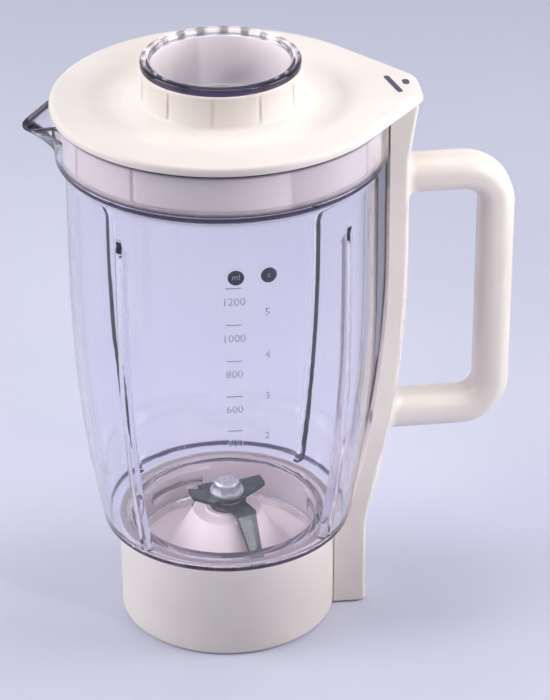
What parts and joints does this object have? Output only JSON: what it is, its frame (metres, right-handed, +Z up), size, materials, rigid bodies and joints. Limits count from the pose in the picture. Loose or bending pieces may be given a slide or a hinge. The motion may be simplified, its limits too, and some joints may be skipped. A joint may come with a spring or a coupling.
{
  "type": "blender jar",
  "caption": "Clear blender jar with a pouring spout, a lid with a locking tab and clear filler cap, a side handle, and a base that carries the spinning blades.",
  "frame": {"origin": "on the jar's axis at the mouth of the base's socket, which is the level of the table", "axes": "+Z up along the jar's axis, +X from the axis towards the handle, spout towards -X"},
  "size_m": [0.1961, 0.135, 0.2494],
  "materials": {
    "clear_acrylic": "clear polished acrylic with a faint lilac tint",
    "cream_lid": "satin moulded plastic, near white",
    "cream_handle": "satin moulded plastic, warm cream",
    "cream_base": "satin moulded plastic, warm cream",
    "pale_carrier": "matte moulded plastic, pale pink grey",
    "cream_rod": "plain moulded plastic",
    "pale_seal": "soft silicone",
    "dark_seal": "soft rubber",
    "bush_brass": "turned bearing metal",
    "steel_shaft": "turned stainless steel",
    "steel_blade": "ground stainless sheet",
    "steel_small": "plain stainless steel",
    "dark_coupling": "tough moulded plastic"
  },
  "bodies": {
    "goblet": {"goblet": "clear_acrylic", "spine_cover": "cream_handle", "handle": "cream_handle", "handle_screws": "steel_small", "base_collar": "cream_base", "blade_carrier": "pale_carrier", "sealing_ring": "dark_seal", "upper_bush": "bush_brass", "lower_bush": "bush_brass", "shaft_seal": "dark_seal", "rod_spring": "steel_small"},
    "lid_ring": {"lid_seal": "pale_seal"},
    "lid": {"lid": "cream_lid"},
    "cap": {"filler_cap": "clear_acrylic"},
    "blades": {"drive_shaft": "steel_shaft", "lower_blade": "steel_blade", "upper_blade": "steel_blade", "blade_spacer": "steel_small", "blade_washer": "steel_small", "blade_nut": "steel_shaft", "thrust_washer": "steel_small", "shaft_clip": "steel_small", "drive_coupling": "dark_coupling"},
    "rod": {"interlock_rod": "cream_rod"}
  },
  "joints": [
    {"name": "lid_lift", "type": "slide", "parent": "goblet", "child": "lid_ring", "axis": [0, 0, 1], "range_m": [0, 0.06]},
    {"name": "lid_turn", "type": "hinge", "parent": "lid_ring", "child": "lid", "pos_m": [0, 0, 0.23], "axis": [0, 0, 1], "range_deg": [0, 8]},
    {"name": "cap_lift", "type": "slide", "parent": "lid", "child": "cap", "axis": [0, 0, 1], "range_m": [0, 0.045]},
    {"name": "blade_spin", "type": "hinge", "parent": "goblet", "child": "blades", "pos_m": [0, 0, 0.035], "axis": [0, 0, 1], "continuous": true},
    {"name": "rod_slide", "type": "slide", "parent": "goblet", "child": "rod", "axis": [0, 0, 1], "range_m": [0, 0.0015], "deforming": ["rod_spring"]}
  ],
  "couplings": [
    {"joint": "rod_slide", "follows": "lid_turn", "m_per_rad": 0.010027}
  ]
}
